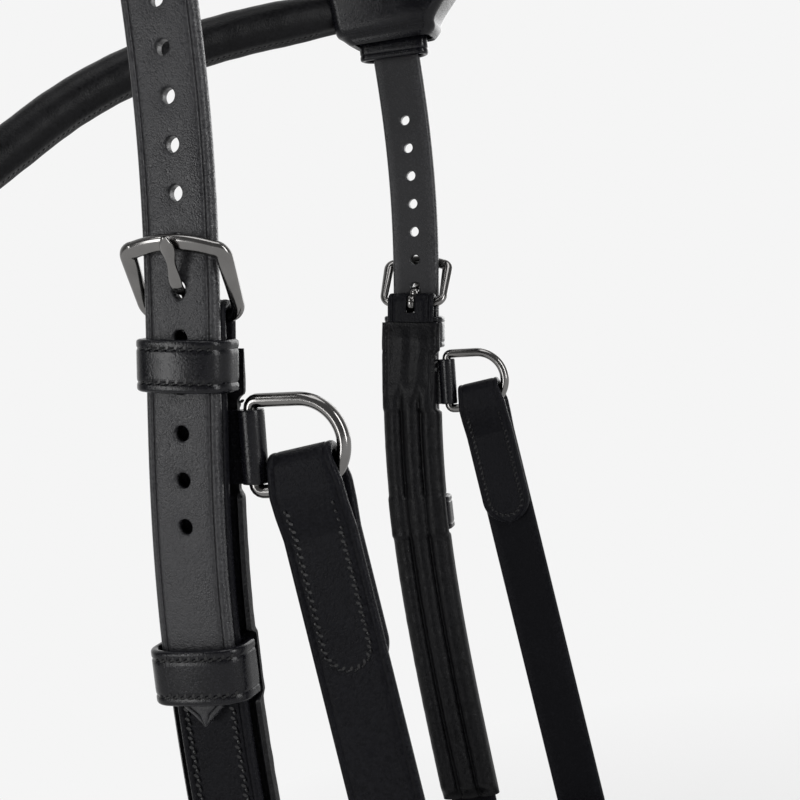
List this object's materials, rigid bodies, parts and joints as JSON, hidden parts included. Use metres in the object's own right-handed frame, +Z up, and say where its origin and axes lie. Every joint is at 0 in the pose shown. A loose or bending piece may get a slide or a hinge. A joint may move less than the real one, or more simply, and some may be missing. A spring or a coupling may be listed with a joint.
{
  "type": "horse bridle",
  "caption": "Leather horse bridle with a padded crown, rolled browband, buckled cheeks with soft linings, bit straps hung from dees, and a padded noseband with a buckled chin strap.",
  "frame": {"origin": "on the flat underside of the crown cushion, midway between the cheeks, where the bridle sits on the horse's poll", "axes": "+Z up, -Y towards the horse's nose, +X towards the horse's left"},
  "size_m": [0.2262, 0.2198, 0.5121],
  "materials": {
    "bridle_leather": "black, fine pebbled grain, satin, with burnished edges",
    "soft_leather": "soft black lining leather over padding, low sheen",
    "stainless_steel": "polished stainless steel with satin facets"
  },
  "bodies": {
    "bridle": {"headpiece_top": "bridle_leather", "headpiece_padding": "soft_leather", "left_headpiece_end_band": "bridle_leather", "right_headpiece_end_band": "bridle_leather", "left_browband_loop": "bridle_leather", "right_browband_loop": "bridle_leather", "browband_roll": "soft_leather", "left_billet_strap": "bridle_leather", "right_billet_strap": "bridle_leather", "left_cheek_strap": "bridle_leather", "right_cheek_strap": "bridle_leather", "left_cheek_buckle_frame": "stainless_steel", "right_cheek_buckle_frame": "stainless_steel", "left_upper_keeper": "bridle_leather", "right_upper_keeper": "bridle_leather", "left_lower_keeper": "bridle_leather", "right_lower_keeper": "bridle_leather", "left_cheek_lining": "soft_leather", "right_cheek_lining": "soft_leather", "left_dee_tab": "bridle_leather", "right_dee_tab": "bridle_leather", "noseband_band": "bridle_leather", "noseband_padding": "soft_leather", "chin_buckle_strap": "bridle_leather", "chin_billet_strap": "bridle_leather", "chin_buckle_frame": "stainless_steel", "chin_keeper": "bridle_leather"},
    "left_cheek_tongue": {"left_cheek_buckle_tongue": "stainless_steel"},
    "right_cheek_tongue": {"right_cheek_buckle_tongue": "stainless_steel"},
    "chin_tongue": {"chin_buckle_tongue": "stainless_steel"},
    "left_dee_ring": {"left_dee": "stainless_steel"},
    "right_dee_ring": {"right_dee": "stainless_steel"},
    "left_bit_piece": {"left_bit_strap": "bridle_leather", "left_bit_hook": "stainless_steel", "left_bit_upper_keeper": "bridle_leather", "left_bit_lower_keeper": "bridle_leather"},
    "right_bit_piece": {"right_bit_strap": "bridle_leather", "right_bit_hook": "stainless_steel", "right_bit_upper_keeper": "bridle_leather", "right_bit_lower_keeper": "bridle_leather"}
  },
  "joints": [
    {"name": "left_cheek_tongue_hinge", "type": "hinge", "parent": "bridle", "child": "left_cheek_tongue", "pos_m": [0.09719, -0.01734, -0.22091], "axis": [0, 0.9731, -0.2303], "range_deg": [0, 3]},
    {"name": "right_cheek_tongue_hinge", "type": "hinge", "parent": "bridle", "child": "right_cheek_tongue", "pos_m": [-0.09719, -0.01734, -0.22091], "axis": [0, -0.9731, 0.2303], "range_deg": [0, 3]},
    {"name": "chin_tongue_hinge", "type": "hinge", "parent": "bridle", "child": "chin_tongue", "pos_m": [0.06124, 0.02017, -0.447], "axis": [0, 0, -1], "range_deg": [0, 3]},
    {"name": "left_dee_swing", "type": "hinge", "parent": "bridle", "child": "left_dee_ring", "pos_m": [0.09705, -0.01007, -0.25472], "axis": [0, -0.165, -0.9863], "range_deg": [-2, 75]},
    {"name": "right_dee_swing", "type": "hinge", "parent": "bridle", "child": "right_dee_ring", "pos_m": [-0.09705, -0.01007, -0.25472], "axis": [0, 0.165, 0.9863], "range_deg": [-2, 75]},
    {"name": "left_bit_strap_swing", "type": "hinge", "parent": "left_dee_ring", "child": "left_bit_piece", "pos_m": [0.09705, 0.00187, -0.25671], "axis": [1, 0, 0], "range_deg": [0, 60]},
    {"name": "right_bit_strap_swing", "type": "hinge", "parent": "right_dee_ring", "child": "right_bit_piece", "pos_m": [-0.09705, 0.00187, -0.25671], "axis": [1, 0, 0], "range_deg": [0, 60]}
  ]
}
